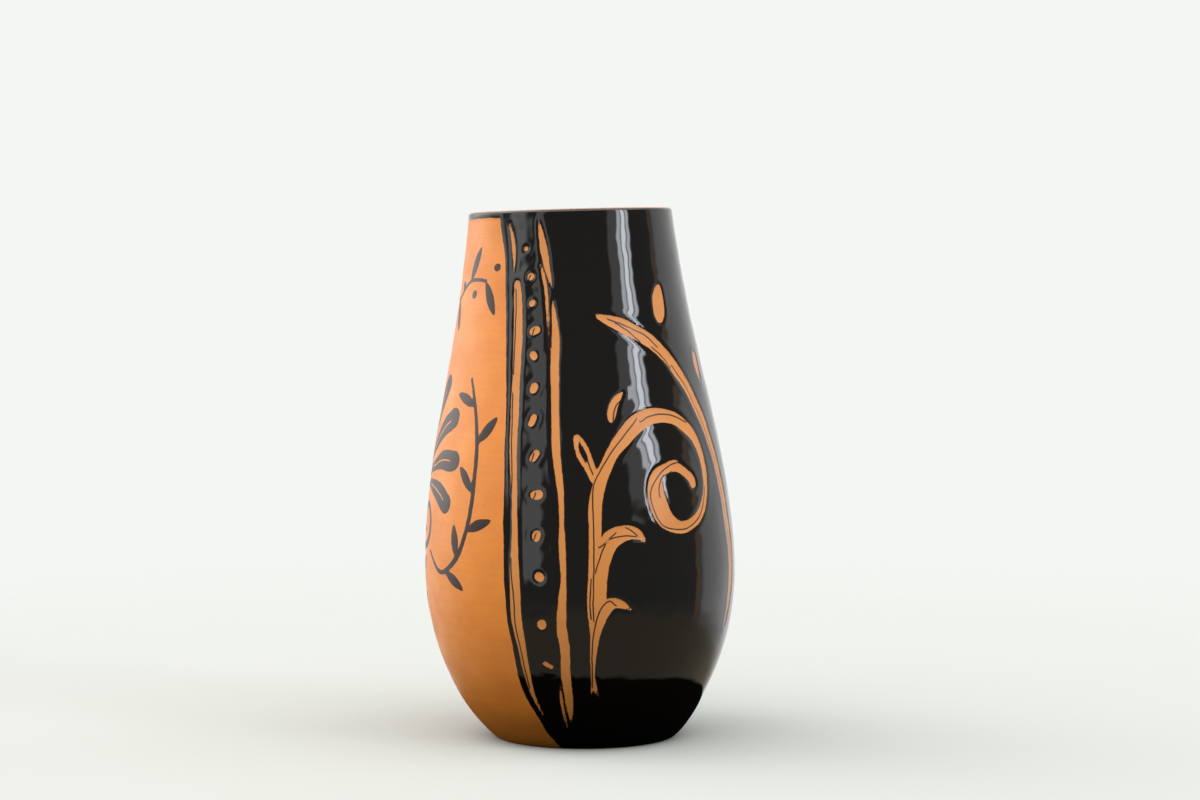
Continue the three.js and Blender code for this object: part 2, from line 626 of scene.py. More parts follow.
@dataclass(frozen=True)
class Scroll:
    """A reserved spiral tendril on a stem with leaf shoots, and a long leaf that arches over it."""

    stem: Stroke = Stroke((
        (4.7, 66, 1.7), (4.3, 77, 1.5), (4.5, 92, 2.4), (4.9, 112, 3.5), (4.8, 140, 4.0), (5.2, 165, 4.0),
        (6.3, 190, 5.0), (6.9, 210, 5.2), (8.4, 225, 5.0), (10.7, 238, 5.0), (14.5, 253, 5.2),
        (20.0, 266, 6.7), (25.8, 275.5, 6.9), (32.5, 280, 6.2), (39.5, 280, 5.5), (46.5, 275.5, 5.0),
        (53.0, 265, 4.6), (56.6, 252, 3.8), (57.9, 238, 3.2), (57.4, 224, 2.9), (55.5, 212, 3.2),
        (52.0, 201, 3.7), (46.8, 193.5, 4.5), (39.8, 191, 5.2), (34.4, 197, 7.0), (31.4, 208, 8.4),
        (30.4, 221, 7.4), (31.3, 231, 5.8), (34.8, 237, 4.5), (40.5, 238.5, 3.8), (45.2, 234.5, 3.3),
        (48.6, 229, 3.6), (49.4, 224, 3.2),
    ))
    stem_forks: tuple[Stroke, ...] = (
        Stroke(((4.4, 72, 1.2), (4.1, 63, 0.9), (4.0, 60, 0.3))),
        Stroke(((4.9, 72, 1.2), (6.0, 62, 1.0), (6.6, 57, 0.2))),
    )
    coil_tip: Stroke = Stroke(((35.5, 238.5, 3.2), (39.0, 241.5, 2.2), (42.4, 243.5, 0.2)))
    upper_shoot: Stroke = Stroke((
        (7.4, 138, 5.0), (7.7, 153, 5.4), (8.2, 164, 5.6), (9.4, 174, 6.2), (11.2, 183, 7.2),
        (14.0, 188, 7.2), (18.1, 190, 5.8), (21.4, 188.2, 4.0), (23.7, 185, 2.0), (25.3, 180.6, 0.1),
    ))
    lower_shoot: Stroke = Stroke((
        (4.5, 92, 2.4), (5.0, 106, 3.2), (6.1, 116, 3.8), (7.8, 126.5, 4.8), (9.8, 133, 4.9),
        (12.2, 135.5, 4.2), (15.0, 134, 2.8), (17.2, 131.5, 1.4), (19.0, 129, 0.1),
    ))
    side_leaf: Stroke = Stroke((
        (6.9, 233, 3.8), (5.3, 241, 4.2), (3.7, 249, 5.2), (2.4, 258, 5.2), (1.1, 265, 3.0),
        (0.4, 268, 0.3),
    ))
    side_leaf_heart: Stroke = Stroke((
        (4.4, 244, 0.3), (3.8, 249, 1.8), (2.7, 256, 2.1), (1.9, 261, 1.2), (1.6, 264, 0.3),
    ))
    loose_leaf: Stroke = Stroke((
        (14.9, 279.5, 2.3), (15.2, 284, 3.3), (16.3, 290.5, 3.3), (18.2, 296, 2.5), (20.0, 299.3, 1.0),
        (20.8, 300.3, 0.1),
    ))
    bud: Stroke = Stroke((
        (46.2, 358, 4.4), (46.6, 363, 6.4), (47.1, 371, 6.6), (48.2, 378, 5.0), (49.4, 382.5, 3.0),
    ))
    long_leaf: Stroke = Stroke((
        (11.0, 363, 0.3), (13.7, 360, 2.5), (19.0, 356, 4.6), (25.0, 352, 5.7), (32.4, 346, 5.7),
        (40.0, 337, 5.5), (45.6, 328, 5.4), (50.6, 317, 5.4), (57.3, 299.5, 5.3), (62.6, 281, 5.0),
        (67.0, 261, 4.7), (70.2, 234, 4.4), (72.0, 204, 4.2), (73.5, 172, 4.2), (74.0, 150, 3.8),
        (73.0, 128, 2.8), (70.8, 105, 0.6),
    ))
    far_bud: Stroke = Stroke(((72.2, 326, 2.8), (71.5, 317, 3.6), (72.3, 308, 1.6)))

    def strokes(self) -> list[Stroke]:
        """Gives every reserved stroke of the scroll."""
        shoots = [self.upper_shoot, self.lower_shoot, self.side_leaf, self.loose_leaf]
        return [self.stem, *self.stem_forks, self.coil_tip, *shoots, self.bud, self.long_leaf, self.far_bud]

    def hearts(self) -> list[Stroke]:
        """Gives the dark shapes painted back into the reserved leaves."""
        return [self.side_leaf_heart]

    def main_veins(self, form: ThrownForm) -> list[Stroke]:
        """Gives the long thin lines drawn inside the reserved strokes."""
        return [
            thin((4.9, 122), (5.2, 142), (5.2, 162), (5.6, 182), (6.0, 203), (6.3, 223), (7.9, 233.5),
                 (13.7, 252.5),
                 (19.5, 266), (25.7, 278.6)),
            thin((27.3, 276), (31.8, 280), (38.3, 281.6), (45.2, 279), (51.2, 273.8)),
            thin((42.1, 242), (35.7, 238), (30.4, 228.6), (28.0, 219), (28.7, 207), (32.0, 194.3),
                 (37.5, 189.4),
                 (44.4, 190.2), (50.5, 197), (54.4, 208.6), (56.4, 220)),
            thin((7.6, 179.4), (11.9, 186), (16.6, 187.4), (21.9, 186.2)),
            thin((4.6, 247), (5.4, 241), (6.4, 236)),
            thin((16.7, 358), (26.0, 352.5), (34.5, 346), (41.9, 335)),
            self.long_leaf.vein(form, 0.25, 0.42, 0.85),
        ]

    def other_veins(self) -> list[Stroke]:
        """Gives the short thin lines that run close to the long ones or cross them."""
        return [
            thin((4.3, 155), (4.0, 137), (4.0, 124)),
            thin((38.2, 234.5), (34.0, 231.5), (32.0, 222), (32.0, 216)),
            thin((5.7, 160), (8.0, 174.4), (10.4, 184), (13.8, 190.5)),
            thin((17.5, 194.2), (19.6, 191), (22.0, 186)),
            thin((4.2, 66), (4.1, 101), (5.1, 116.4), (7.5, 130.6), (10.5, 137.3), (13.0, 133)),
            thin((20.3, 355), (26.4, 349), (32.4, 340)),
            thin((38.5, 335), (43.7, 327), (47.3, 317.6)),
            thin((15.5, 277), (16.0, 284), (17.2, 290), (19.2, 293.5)),
        ]


@dataclass(frozen=True)
class Palmette:
    """A fan of rounded petals over a heart, with a volute curling out on each side below it."""

    base: float
    petals: int = 9
    spread: float = 88.0
    bend: float = 0.16
    heart: float = 15.0
    heart_half: float = 7.5
    heart_taper: float = 0.8
    top_length: float = 104.0
    side_length: float = 84.0
    petal_half: float = 8.6
    petal_shape: tuple[tuple[float, float], ...] = ((0.0, 0.22), (0.35, 0.55), (0.7, 0.95), (0.9, 1.0))
    volute_radius: float = 24.0
    volute_drop: float = 30.0
    volute_gap: float = 5.0
    volute_turns: float = 1.25
    volute_shrink: float = 0.7
    volute_half: float = 3.4
    volute_thinning: float = 0.3
    volute_samples: int = 20

    def petal_angles(self) -> list[float]:
        """Gives each petal's degrees from straight up, positive to the right."""
        return [self.spread * (2 * index / (self.petals - 1) - 1) for index in range(self.petals)]

    def petal_rows(self, angle: float) -> list[tuple[float, float, float]]:
        """Gives one petal as millimetres across, millimetres up and half width.

        Args:
            angle: Degrees from straight up, positive to the right.

        Returns:
            The petal's rows from the heart to its round tip.
        """
        lean = abs(angle) / self.spread
        length = self.top_length + (self.side_length - self.top_length) * lean
        rows = []
        for share, fullness in self.petal_shape:
            bent = math.radians(angle * (1 + self.bend * share ** 2))
            reach = self.heart + (length - self.heart) * share
            across, rise = reach * math.sin(bent), reach * math.cos(bent)
            rows.append((across, self.base + rise, self.petal_half * fullness))
        return rows

    def volute_rows(self, side: int) -> list[tuple[float, float, float]]:
        """Gives one volute, a spiral that winds in from under the heart.

        Args:
            side: 1 for the right and -1 for the left.

        Returns:
            The volute's rows as millimetres across, millimetres up and half width.
        """
        rows = []
        for share in np.linspace(0, 1, self.volute_samples + 1):
            radius = self.volute_radius * (1 - self.volute_shrink * share)
            angle = math.pi + 2 * math.pi * self.volute_turns * share
            across = self.volute_radius + self.volute_gap + radius * math.cos(angle)
            up = self.base - self.volute_drop + radius * math.sin(angle)
            rows.append((side * across, up, self.volute_half * (1 - self.volute_thinning * share)))
        return rows


@dataclass(frozen=True)
class Panel:
    """The terracotta field with a painted palmette, laurel and garland, on the side beside the border."""

    axis: float = -95.0
    edge: tuple[tuple[float, float], ...] = (
        (-15.0, 0), (-19.3, 22), (-22.9, 45), (-25.5, 66), (-26.6, 100), (-27.6, 160), (-28.3, 235),
        (-29.4, 288), (-31.1, 322), (-33.0, 354), (-36.0, 400), (-41.5, 442),
    )
    edge_steps: int = 12
    rim_line: float = 3.4
    palmette: Palmette = field(default_factory=lambda: Palmette(base=225.0))
    leaf_length: float = 44.0
    leaf_half: float = 6.4
    berry: float = 3.2
    berry_smear: float = 0.4
    stem_foot: float = 44.0
    stem_half: float = 2.6
    laurel_pairs: int = 4
    laurel_start: float = 14.0
    laurel_gap: float = 27.0
    laurel_heading: float = 38.0
    laurel_growth: tuple[float, float] = (0.8, 0.08)
    laurel_berry: tuple[float, float] = (9.0, 20.0)
    branch_path: tuple[tuple[float, float, float], ...] = (
        (50.0, -52.0, 1.4), (76.0, -68.0, 2.0), (100.0, -52.0, 2.4), (112.0, -10.0, 2.2),
        (100.0, 50.0, 1.8), (80.0, 88.0, 1.4),
    )
    branch_first_leaf: int = 10
    branch_leaf_step: int = 5
    branch_leaf_turn: float = 48.0
    branch_leaf_scale: float = 0.66
    garland_height: float = 396.0
    garland_leaves: int = 7
    garland_gap: float = 24.0
    garland_half: float = 1.5
    garland_wave: float = 5.0
    garland_droop: float = 16.0
    garland_heading: float = 62.0
    garland_leaf_scale: float = 0.7
    garland_berry: tuple[float, float] = (10.0, 2.2)
    vein_stretch: tuple[float, float] = (0.3, 0.9)

    def inside(self, form: ThrownForm, points: WallPoints) -> np.ndarray:
        """Measures how far places are inside the panel.

        Args:
            form: Clay form that the panel lies on.
            points: Places on the wall.

        Returns:
            Millimetres inside the panel's edge, negative outside.
        """
        edge = smooth_path(np.array(self.edge, dtype=float), self.edge_steps)
        half_width = np.interp(points.along, edge[:, 1], edge[:, 0]) - self.axis
        from_axis = np.abs((points.around - self.axis + 180) % 360 - 180)
        aside = (half_width - from_axis) * points.millimetres_per_degree()
        return np.minimum(aside, form.wall_length() - self.rim_line - points.along)

    def placed(self, form: ThrownForm, rows: Iterable[tuple[float, float, float]]) -> Stroke:
        """Puts rows of millimetres across and up onto the panel.

        Args:
            form: Clay form that the panel lies on.
            rows: Millimetres right of the panel's axis, millimetres up and half width.

        Returns:
            The rows as a stroke on the wall.
        """
        return Stroke(tuple(
            (self.axis + math.degrees(across / form.radius_at(up)), up, half) for across, up, half in rows
        ))

    def berry_at(self, form: ThrownForm, across: float, up: float) -> Stroke:
        """Gives a round berry at a place on the panel."""
        ends = (across - self.berry_smear, across + self.berry_smear)
        return self.placed(form, [(end, up, self.berry) for end in ends])

    def laurel(self, form: ThrownForm) -> list[Stroke]:
        """Gives the stem under the palmette with its pairs of leaves and berries."""
        top = self.palmette.base - self.palmette.volute_radius
        half = self.stem_half
        middle = (self.stem_foot + top) / 2
        stem = ((0.0, self.stem_foot, half / 2), (half / 2, middle, half), (0.0, top, half))
        made = [self.placed(form, stem)]
        first, step = self.laurel_growth
        aside, rise = self.laurel_berry
        for pair in range(self.laurel_pairs):
            up = self.stem_foot + self.laurel_start + pair * self.laurel_gap
            growth = first + step * pair
            length, half = self.leaf_length * growth, self.leaf_half * growth
            for side, heading in ((1, self.laurel_heading), (-1, 180 - self.laurel_heading)):
                made.append(leaf(form, (self.axis, up), heading, length, half))
                made.append(self.berry_at(form, side * aside, up + rise))
        return made

    def branches(self, form: ThrownForm) -> list[Stroke]:
        """Gives the branch that swings out on each side, with leaves along it."""
        made = []
        length, half = self.leaf_length * self.branch_leaf_scale, self.leaf_half * self.branch_leaf_scale
        for side in (-1, 1):
            rows = [(side * across, self.palmette.base + up, width) for across, up, width in self.branch_path]
            branch = self.placed(form, rows)
            made.append(branch)
            spine = branch.spine()
            leaf_places = range(self.branch_first_leaf, len(spine) - 2, self.branch_leaf_step)
            for index, start in enumerate(leaf_places):
                place = (float(spine[start, 0]), float(spine[start, 1]))
                run = spine[start + 2] - spine[start - 2]
                heading = math.degrees(math.atan2(run[1], math.radians(run[0]) * form.radius_at(place[1])))
                turn = self.branch_leaf_turn if index % 2 else -self.branch_leaf_turn
                made.append(leaf(form, place, heading + turn, length, half))
        return made

    def garland(self, form: ThrownForm) -> list[Stroke]:
        """Gives the garland under the rim: a wavy twig with leaves that hang to either side of it."""
        half_span = self.garland_gap * (self.garland_leaves - 1) / 2
        length, half = self.leaf_length * self.garland_leaf_scale, self.leaf_half * self.garland_leaf_scale
        berry_aside, berry_swing = self.garland_berry
        twig = []
        made = []
        for index in range(self.garland_leaves):
            side = 1 if index % 2 else -1
            across = -half_span + index * self.garland_gap
            wave = side * self.garland_wave
            up = self.garland_height + wave - self.garland_droop * (1 - (across / half_span) ** 2)
            twig.append((across, up, self.garland_half))
            place = (self.axis + math.degrees(across / form.radius_at(up)), up)
            made.append(leaf(form, place, side * self.garland_heading, length, half))
            made.append(self.berry_at(form, across + berry_aside, up - berry_swing * wave))
        return [*made, self.placed(form, twig)]

    def strokes(self, form: ThrownForm) -> list[Stroke]:
        """Gives every painted stroke of the panel."""
        palmette = self.palmette
        half = palmette.heart_half
        low, high = palmette.base - half / 2, palmette.base + half / 2
        drawn = [
            ((0.0, low, half * palmette.heart_taper), (0.0, high, half)),
            *(palmette.petal_rows(angle) for angle in palmette.petal_angles()),
            *(palmette.volute_rows(side) for side in (-1, 1)),
        ]
        placed = [self.placed(form, rows) for rows in drawn]
        return placed + self.laurel(form) + self.branches(form) + self.garland(form)

    def veins(self, form: ThrownForm) -> list[Stroke]:
        """Gives the lines scratched through the paint, one up the middle of each petal."""
        palmette = self.palmette
        petals = (self.placed(form, palmette.petal_rows(angle)) for angle in palmette.petal_angles())
        return [petal.vein(form, 0.0, *self.vein_stretch) for petal in petals]


@dataclass(frozen=True)
class PaintFields:
    """What the decoration says at each place of the wall, in millimetres."""

    reserve: np.ndarray
    panel: np.ndarray
    brush: np.ndarray
    vein_layers: list[tuple[np.ndarray, np.ndarray]]


@dataclass(frozen=True)
class Decoration:
    """The whole decoration of the wall, with the half that faces away mirrored from the half that shows."""

    border: Border = Border()
    scroll: Scroll = Scroll()
    panel: Panel = field(default_factory=Panel)
    back_axis: float = 85.0
    far: float = 8.0
    slow_wobble: Unevenness = Unevenness(wavelength=34.0, seed=3)
    quick_wobble: Unevenness = Unevenness(wavelength=9.0, seed=4)
    slow_wobble_size: float = 0.7
    quick_wobble_size: float = 0.16
    next_draw: float = 500.0

    def both_sides(self, strokes: list[Stroke]) -> list[Stroke]:
        """Gives strokes and their mirror images about the back axis."""
        return strokes + [stroke.mirrored(self.back_axis) for stroke in strokes]

    def cover(self, strokes: list[Stroke], points: WallPoints) -> np.ndarray:
        """Measures how far places are inside any of the strokes.

        Args:
            strokes: Strokes to measure against.
            points: Places on the wall.

        Returns:
            Millimetres inside the nearest stroke, negative outside.
        """
        inside = np.full(len(points.around), -self.far)
        for stroke in strokes:
            chosen, near = stroke.near(points)
            inside[chosen] = np.maximum(inside[chosen], stroke.measure(near)[0])
        return inside

    def lines(self, strokes: list[Stroke], points: WallPoints) -> tuple[np.ndarray, np.ndarray]:
        """Measures places against thin lines.

        Args:
            strokes: Thin lines to measure against.
            points: Places on the wall.

        Returns:
            Signed distance across the nearest line, and plain distance from it.
        """
        side = np.full(len(points.around), self.far)
        gap = np.full(len(points.around), self.far)
        for stroke in strokes:
            chosen, near = stroke.near(points)
            inside, across = stroke.measure(near)
            closer = -inside < gap[chosen]
            side[chosen] = np.where(closer, across, side[chosen])
            gap[chosen] = np.where(closer, -inside, gap[chosen])
        return side, gap

    def fields(self, form: ThrownForm, points: WallPoints) -> PaintFields:
        """Works out the decoration at every place of the wall.

        Args:
            form: Clay form that the decoration lies on.
            points: Places on the wall.

        Returns:
            The decoration's fields.
        """
        wobbles = ((self.slow_wobble, self.slow_wobble_size), (self.quick_wobble, self.quick_wobble_size))
        across, up = (
            sum(size * wobble.at(place) for wobble, size in wobbles)
            for place in (points.place, points.place + self.next_draw)
        )
        drawn = points.moved(across, up)
        reserved = self.both_sides(self.border.strokes() + self.scroll.strokes())
        panel = self.panel.inside(form, drawn)
        reserve = np.maximum(self.cover(reserved, drawn), panel)
        reserve = np.minimum(reserve, -self.cover(self.scroll.hearts(), drawn))
        brush = self.cover(self.panel.strokes(form), drawn)
        main_lines = self.border.veins() + self.scroll.main_veins(form) + self.panel.veins(form)
        other_lines = self.border.gaps() + self.scroll.other_veins()
        layers = [self.lines(main_lines, drawn), self.lines(other_lines, drawn)]
        return PaintFields(np.clip(reserve, -self.far, self.far), panel, brush, layers)


@dataclass(frozen=True)
class GlazeCoat:
    """Thickness of the black glaze over the clay, in millimetres."""

    thickness: float = 0.32
    edge: float = 1.7
    bead: float = 0.2
    bead_place: float = 3.2
    bead_width: float = 2.4
    paint: float = 0.07
    paint_edge: float = 1.4
    broad_lumps: Unevenness = Unevenness(wavelength=46.0, seed=21)
    broad_size: float = 0.14
    fine_lumps: Unevenness = Unevenness(wavelength=13.0, seed=22)
    fine_size: float = 0.03
    turning: Unevenness = Unevenness(wavelength=7.0, seed=23)
    turning_size: float = 0.03
    wiped_foot: float = 8.0

    def build_up(self, points: WallPoints, paint: PaintFields) -> np.ndarray:
        """Works out how far the surface stands out from the thrown clay.

        Args:
            points: Places on the wall.
            paint: Decoration at those places.

        Returns:
            Height over the clay in millimetres.
        """
        depth = -paint.reserve
        rise = np.clip(depth / self.edge, 0, 1)
        glaze = self.thickness * np.sqrt(1 - (1 - rise) ** 2)
        glaze += self.bead * np.exp(-((depth - self.bead_place) / self.bead_width) ** 2) * rise
        glaze += rise * self.fine_size * self.fine_lumps.at(points.place)
        painted = self.paint * np.clip(paint.brush / self.paint_edge, 0, 1)
        rings = points.place * (0.0, 0.0, 1.0)
        body = self.broad_size * self.broad_lumps.at(points.place)
        body += self.turning_size * self.turning.at(rings)
        return (glaze + painted + body) * np.clip(points.along / self.wiped_foot, 0, 1)


@dataclass(frozen=True)
class Grain:
    """A pattern in a finish: millimetres across, the range of it that shows and what that becomes."""

    size: float
    detail: float
    shown: tuple[float, float]
    becomes: tuple[float, float]

    def add(self, tree: bpy.types.NodeTree, place: bpy.types.NodeSocket) -> bpy.types.NodeSocket:
        """Adds the pattern to a material.

        Args:
            tree: The material's node tree.
            place: Place on the vase that the pattern follows.

        Returns:
            The pattern's value.
        """
        inputs = {"Vector": place, "Scale": per_mm(self.size), "Detail": self.detail}
        raw = add_node(tree, "ShaderNodeTexNoise", inputs)
        return add_node(tree, RAMP, {"Value": raw, **span(*self.shown, *self.becomes)}, **SMOOTH)


@dataclass(frozen=True)
class GlazedWall:
    """Glossy black glaze over burnished terracotta slip, with slip left bare as ornament.

    Fired glaze is glass, so the black is mirror-smooth with faint waves. The slip is brushed on while the pot
    turns, so the orange is satin with fine level streaks and speckles. It fired browner in narrow reserves.
    The streaks and specks are drawn coarser than real ones, so that they show.
    """

    name: str = "black glaze over terracotta slip"
    slip: str = "#E08932"
    slip_dark: str = "#D07729"
    slip_speck: str = "#B0622A"
    slip_narrow: str = "#CA8443"
    glaze: str = "#0A0806"
    glaze_thin: str = "#2A150B"
    slip_roughness: tuple[float, float] = (0.38, 0.48)
    glaze_roughness: float = 0.045
    paint_roughness: float = 0.38
    ior: float = 1.52
    mottle: Grain = Grain(28.0, 4.0, (0.3, 0.7), (0.0, 0.55))
    streak: Grain = Grain(2.6, 3.0, (0.35, 0.7), (0.0, 0.28))
    streak_stretch: tuple[float, float, float] = (0.06, 0.06, 1.0)
    speck: Grain = Grain(1.6, 2.0, (0.62, 0.75), (0.0, 0.5))
    wave: Grain = Grain(11.0, 1.0, (0.2, 0.8), (0.2, 0.8))
    rag: Grain = Grain(3.6, 2.0, (0.25, 0.75), (-0.14, 0.14))
    edge_soft: float = 0.3
    narrow_share: float = 0.85
    fringe: float = 0.9
    vein_half: float = 0.75
    vein_core: float = 0.5
    vein_reach: float = 1.7
    vein_close: float = 0.7
    relief_strength: float = 0.25
    relief: float = 0.06

    def coverage(
        self, tree: bpy.types.NodeTree, place: bpy.types.NodeSocket, reserve: bpy.types.NodeSocket
    ) -> tuple[bpy.types.NodeSocket, bpy.types.NodeSocket]:
        """Works out where the glaze was left off and where the slip then shows.

        Args:
            tree: The material's node tree.
            place: Place on the vase.
            reserve: Millimetres inside the reserved ornament.

        Returns:
            1 where there is no glaze, and 1 where no glaze, paint or thin line hides the slip.
        """
        rag = self.rag.add(tree, place)
        edge = span(-self.edge_soft, self.edge_soft)
        bare = add_node(tree, MATH, {0: reserve, 1: rag}, operation="ADD")
        bare = add_node(tree, RAMP, {"Value": bare, **edge}, **SMOOTH)
        brush = add_node(tree, READING, give="Fac", attribute_name="brush_mm")
        painted = add_node(tree, MATH, {0: brush, 1: rag}, operation="ADD")
        painted = add_node(tree, RAMP, {"Value": painted, **edge}, **SMOOTH)
        shows = add_node(tree, MATH, {0: 1.0, 1: painted}, operation="SUBTRACT")
        vein = span(self.vein_half, self.vein_half * self.vein_core)
        reach = span(self.vein_reach, self.vein_reach * self.vein_close)
        for layer in range(VEIN_LAYERS):
            side = add_node(tree, READING, give="Fac", attribute_name=VEIN_SIDE.format(layer))
            side = add_node(tree, MATH, {0: side}, operation="ABSOLUTE")
            line = add_node(tree, RAMP, {"Value": side, **vein}, **SMOOTH)
            gap = add_node(tree, READING, give="Fac", attribute_name=VEIN_GAP.format(layer))
            close = add_node(tree, RAMP, {"Value": gap, **reach}, **SMOOTH)
            drawn = add_node(tree, MATH, {0: line, 1: close}, operation="MULTIPLY")
            shows = add_node(tree, MATH, {0: shows, 1: drawn}, operation="SUBTRACT")
            shows = add_node(tree, MATH, {0: shows}, operation="ABSOLUTE")
        return bare, add_node(tree, MATH, {0: shows, 1: bare}, operation="MULTIPLY")

    def build(self) -> bpy.types.Material:
        """Builds the material, which reads the decoration from the wall's attributes."""
        material, tree = new_material(self.name)
        place = add_node(tree, "ShaderNodeTexCoord", give="Object")
        level = add_node(tree, "ShaderNodeMapping", {"Vector": place, "Scale": self.streak_stretch})
        reserve = add_node(tree, READING, give="Fac", attribute_name="reserve_mm")
        bare, slip_shows = self.coverage(tree, place, reserve)
        mottle = self.mottle.add(tree, place)
        streaks = self.streak.add(tree, level)
        specks = self.speck.add(tree, place)
        slip = add_node(tree, MIX, {0: mottle, 6: linear(self.slip), 7: linear(self.slip_dark)}, **RGB)
        slip = add_node(tree, MIX, {0: streaks, 6: slip, 7: linear(self.slip_dark)}, **RGB)
        slip = add_node(tree, MIX, {0: specks, 6: slip, 7: linear(self.slip_speck)}, **RGB)
        panel = add_node(tree, READING, give="Fac", attribute_name="panel_mm")
        outside = span(0.0, -self.edge_soft, 0.0, self.narrow_share)
        narrow = add_node(tree, RAMP, {"Value": panel, **outside}, **SMOOTH)
        slip = add_node(tree, MIX, {0: narrow, 6: slip, 7: linear(self.slip_narrow)}, **RGB)
        fringe = add_node(tree, RAMP, {"Value": reserve, **span(-self.fringe, 0.0)}, **SMOOTH)
        glaze = add_node(tree, MIX, {0: fringe, 6: linear(self.glaze), 7: linear(self.glaze_thin)}, **RGB)
        colour = add_node(tree, MIX, {0: slip_shows, 6: glaze, 7: slip}, **RGB)
        slip_range = span(*self.mottle.becomes, *self.slip_roughness)
        slip_rough = add_node(tree, RAMP, {"Value": mottle, **slip_range})
        dark_range = span(0.0, 1.0, self.glaze_roughness, self.paint_roughness)
        dark_rough = add_node(tree, RAMP, {"Value": bare, **dark_range})
        roughness = add_node(tree, MIX, {0: slip_shows, 2: dark_rough, 3: slip_rough}, data_type="FLOAT")
        grain = add_node(tree, MATH, {0: streaks, 1: specks}, operation="ADD")
        height = add_node(tree, MIX, {0: bare, 2: self.wave.add(tree, place), 3: grain}, data_type="FLOAT")
        normal = add_node(tree, "ShaderNodeBump", {
            "Height": height, "Strength": self.relief_strength, "Distance": self.relief * MM,
        })
        shader = add_node(tree, "ShaderNodeBsdfPrincipled", {
            "Base Color": colour, "Roughness": roughness, "IOR": self.ior, "Normal": normal,
        })
        add_node(tree, "ShaderNodeOutputMaterial", {"Surface": shader})
        return material


@dataclass(frozen=True)
class BareClay:
    """Fired clay with no coat. It is matte and chalky, with grit and level marks from the wheel."""

    name: str
    colour: str
    dark: str
    roughness: float = 0.86
    ior: float = 1.48
    grit: Grain = Grain(1.4, 3.0, (0.3, 0.7), (0.0, 0.5))
    ring: Grain = Grain(5.0, 2.0, (0.3, 0.7), (0.0, 0.5))
    ring_stretch: tuple[float, float, float] = (0.05, 0.05, 1.0)
    relief_strength: float = 0.5
    relief: float = 0.2

    def build(self) -> bpy.types.Material:
        """Builds the material."""
        material, tree = new_material(self.name)
        place = add_node(tree, "ShaderNodeTexCoord", give="Object")
        level = add_node(tree, "ShaderNodeMapping", {"Vector": place, "Scale": self.ring_stretch})
        marks = {0: self.grit.add(tree, place), 1: self.ring.add(tree, level)}
        uneven = add_node(tree, MATH, marks, operation="ADD")
        colour = add_node(tree, MIX, {0: uneven, 6: linear(self.colour), 7: linear(self.dark)}, **RGB)
        normal = add_node(tree, "ShaderNodeBump", {
            "Height": uneven, "Strength": self.relief_strength, "Distance": self.relief * MM,
        })
        shader = add_node(tree, "ShaderNodeBsdfPrincipled", {
            "Base Color": colour, "Roughness": self.roughness, "IOR": self.ior, "Normal": normal,
        })
        add_node(tree, "ShaderNodeOutputMaterial", {"Surface": shader})
        return material


